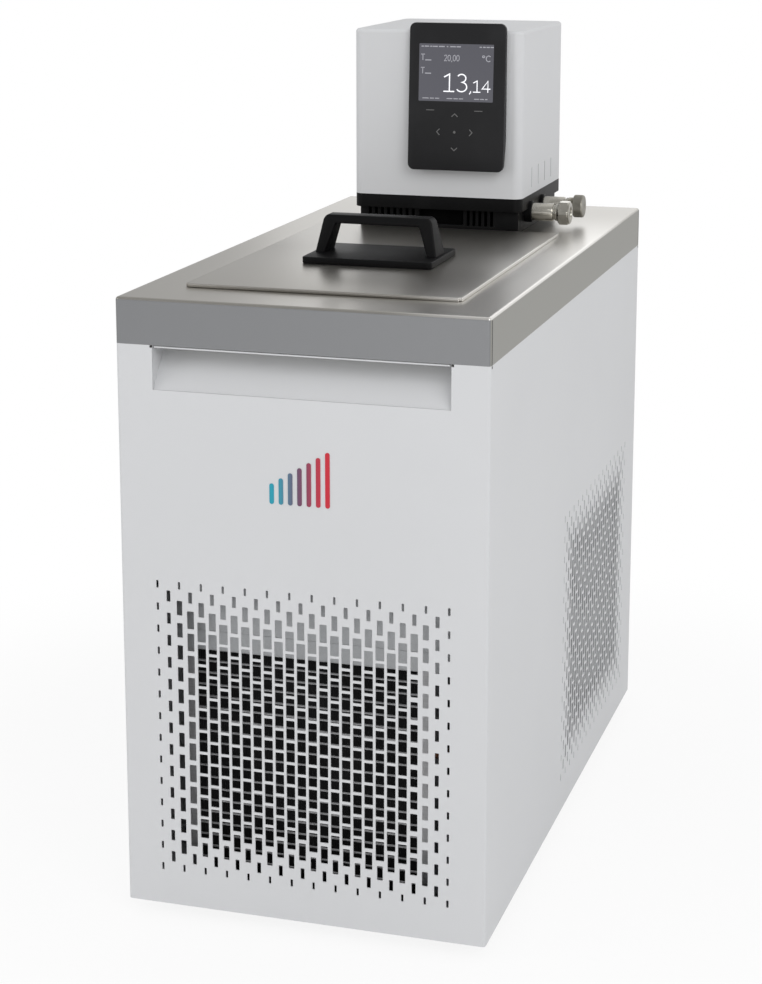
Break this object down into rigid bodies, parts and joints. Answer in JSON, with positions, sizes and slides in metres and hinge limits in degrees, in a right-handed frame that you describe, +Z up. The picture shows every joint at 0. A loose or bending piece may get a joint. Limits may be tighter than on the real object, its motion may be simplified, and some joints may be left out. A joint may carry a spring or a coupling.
{
  "type": "cryostat",
  "caption": "Bench refrigerated and heating bath circulator: tall sheet metal housing with a slot grille, covered stainless bath, pump head with control panel and hose connections.",
  "frame": {"origin": "middle of the footprint's box on the bench", "axes": "+Z up, the grille and the control panel face -Y, hose connections towards +X"},
  "size_m": [0.294, 0.608, 0.687],
  "materials": {
    "housing_white": "fine textured powder coat",
    "stainless": "fine brushed",
    "sheet_steel": "zinc coated",
    "head_white": "smooth powder coat",
    "black_plastic": "fine moulded grain",
    "panel_black": "satin",
    "screen": "glossy",
    "rubber": "matt",
    "aluminium": "bare fins",
    "copper": "drawn tube",
    "black_enamel": "black enamel",
    "foam": "closed cell foam",
    "nickel": "turned and plated",
    "motor": "die cast, painted",
    "board_green": "solder mask",
    "float_white": "moulded"
  },
  "bodies": {
    "housing": {"rubber_feet": "rubber", "base_tray": "housing_white", "front_panel": "housing_white", "grip_pocket": "housing_white", "side_panel_right": "housing_white", "side_panel_left": "housing_white", "rear_panel": "housing_white", "panel_screws": "stainless", "corner_posts": "sheet_steel", "deck": "stainless", "bath_tank": "stainless", "tank_insulation": "foam", "tank_shelf": "sheet_steel", "air_baffle": "sheet_steel", "lid": "stainless", "lid_handle": "black_plastic", "handle_screws": "nickel", "condenser_tubes": "aluminium", "condenser_fins": "black_enamel", "condenser_headers": "aluminium", "condenser_frame": "sheet_steel", "fan_shroud": "sheet_steel", "fan_motor": "motor", "fan_bracket": "sheet_steel", "compressor": "black_enamel", "compressor_mounts": "rubber", "terminal_cover": "black_plastic", "filter_drier": "copper", "discharge_line": "copper", "liquid_line": "copper", "feed_line": "copper", "suction_line": "copper", "evaporator_coil": "nickel", "head_bridge": "black_plastic", "head_cover": "head_white", "control_panel": "panel_black", "display_glass": "screen", "control_board": "board_green", "mounting_plate": "stainless", "pump_motor": "motor", "pump_housing": "nickel", "pump_pipe": "nickel", "return_pipe": "nickel", "return_connector": "nickel", "outlet_connector": "nickel", "return_nut": "nickel", "outlet_cap": "nickel", "heater": "nickel", "temperature_probe": "nickel", "float_guide": "nickel", "power_board": "board_green", "drain_pipe": "nickel", "drain_tap": "nickel", "mains_inlet": "black_plastic", "switch_bezel": "black_plastic"},
    "fan": {"fan_rotor": "black_plastic"},
    "pump": {"pump_shaft": "nickel"},
    "float": {"level_float": "float_white"},
    "drain_handle": {"drain_knob": "black_plastic"},
    "switch_rocker": {"mains_switch": "black_plastic"}
  },
  "joints": [
    {"name": "fan_spin", "type": "hinge", "parent": "housing", "child": "fan", "pos_m": [0, -0.234, 0.127], "axis": [0, 1, 0], "continuous": true},
    {"name": "pump_spin", "type": "hinge", "parent": "housing", "child": "pump", "pos_m": [0, 0.16, 0.35], "axis": [0, 0, 1], "continuous": true},
    {"name": "float_slide", "type": "slide", "parent": "housing", "child": "float", "axis": [0, 0, 1], "range_m": [0, 0.05]},
    {"name": "drain_turn", "type": "hinge", "parent": "housing", "child": "drain_handle", "pos_m": [0.06, 0.289, 0.262], "axis": [0, 0, 1], "range_deg": [0, 90]},
    {"name": "switch_tilt", "type": "hinge", "parent": "housing", "child": "switch_rocker", "pos_m": [-0.044, 0.276, 0.092], "axis": [1, 0, 0], "range_deg": [-16, 0]}
  ]
}
